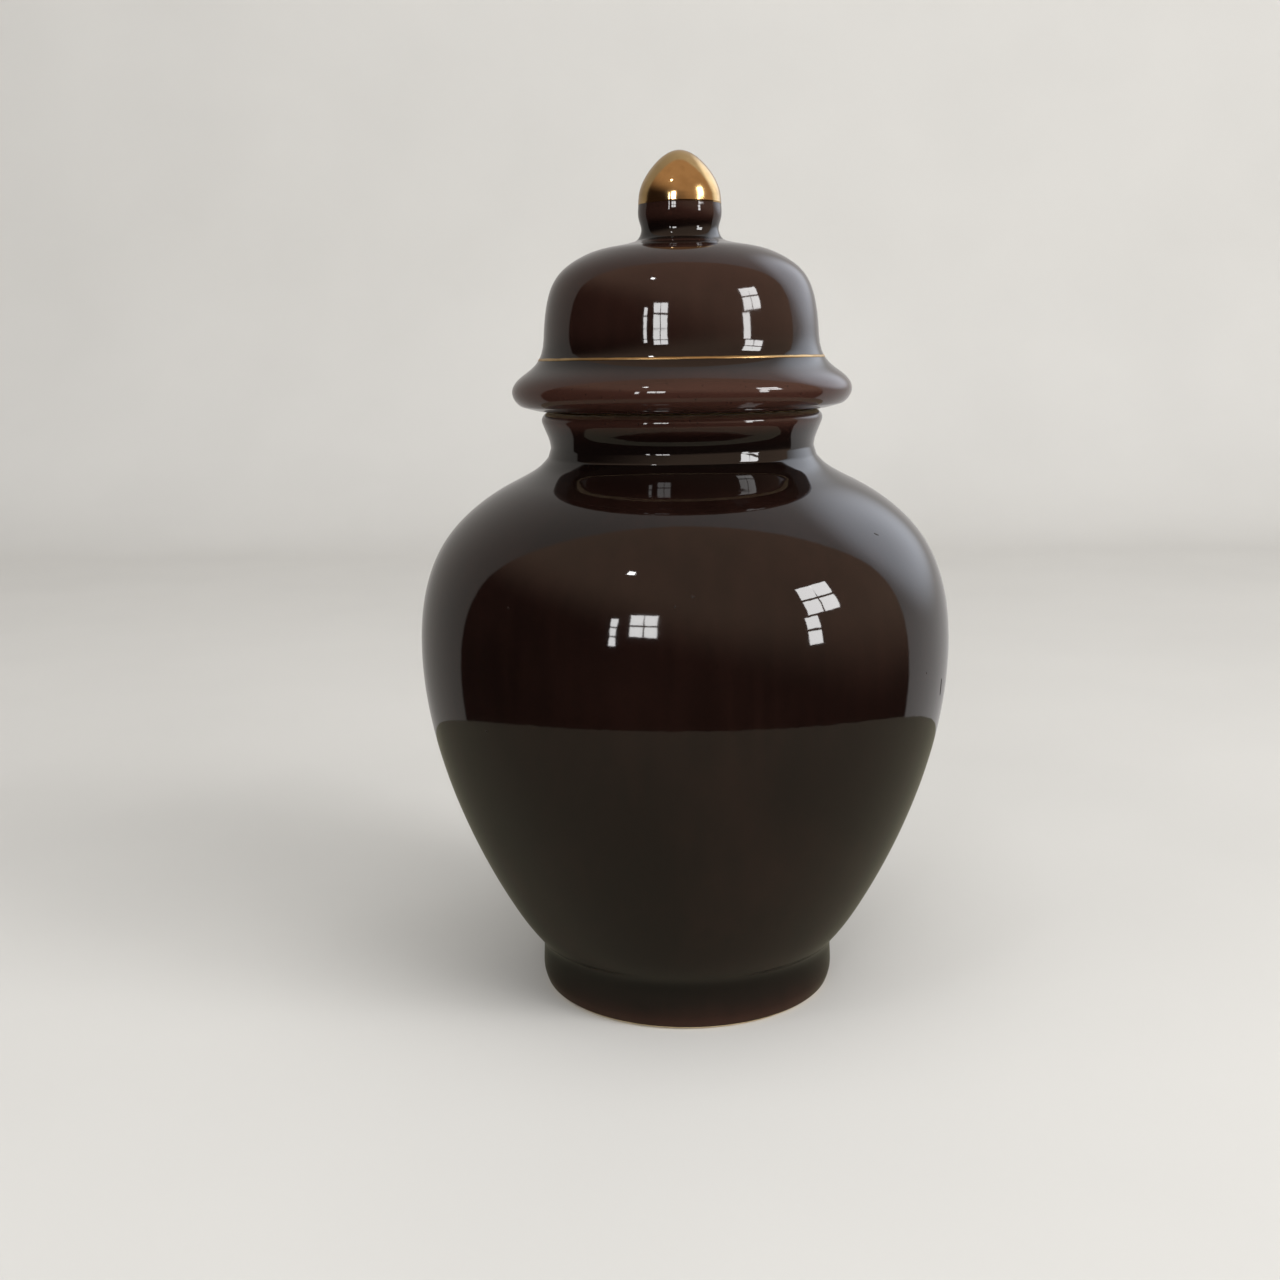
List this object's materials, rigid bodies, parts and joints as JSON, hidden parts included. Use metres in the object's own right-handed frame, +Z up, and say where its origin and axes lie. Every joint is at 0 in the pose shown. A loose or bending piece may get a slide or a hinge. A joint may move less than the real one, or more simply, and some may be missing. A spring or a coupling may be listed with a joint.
{
  "type": "ginger jar",
  "caption": "Shouldered ginger jar on a foot ring, in dark oxblood glaze, with a loose domed lid that drops into the mouth and a gilt acorn finial.",
  "frame": {"origin": "centre of the foot ring, on the surface that the jar stands on", "axes": "+Z up along the axis that every piece is turned about; X and Y are arbitrary, because the jar is round"},
  "size_m": [0.1268, 0.1268, 0.2],
  "materials": {
    "oxblood_glaze": "high-gloss dark red-brown glaze, near black where it lies thick",
    "gold_lustre": "fired gold lustre, mirror bright with light rubbing"
  },
  "bodies": {
    "jar": {"jar_body": "oxblood_glaze"},
    "lid": {"lid": "oxblood_glaze", "finial": "oxblood_glaze", "gilt_tip": "gold_lustre", "gilt_line": "gold_lustre"}
  },
  "joints": [
    {"name": "lid_lift", "type": "slide", "parent": "jar", "child": "lid", "axis": [0, 0, 1], "range_m": [0, 0.025]}
  ]
}
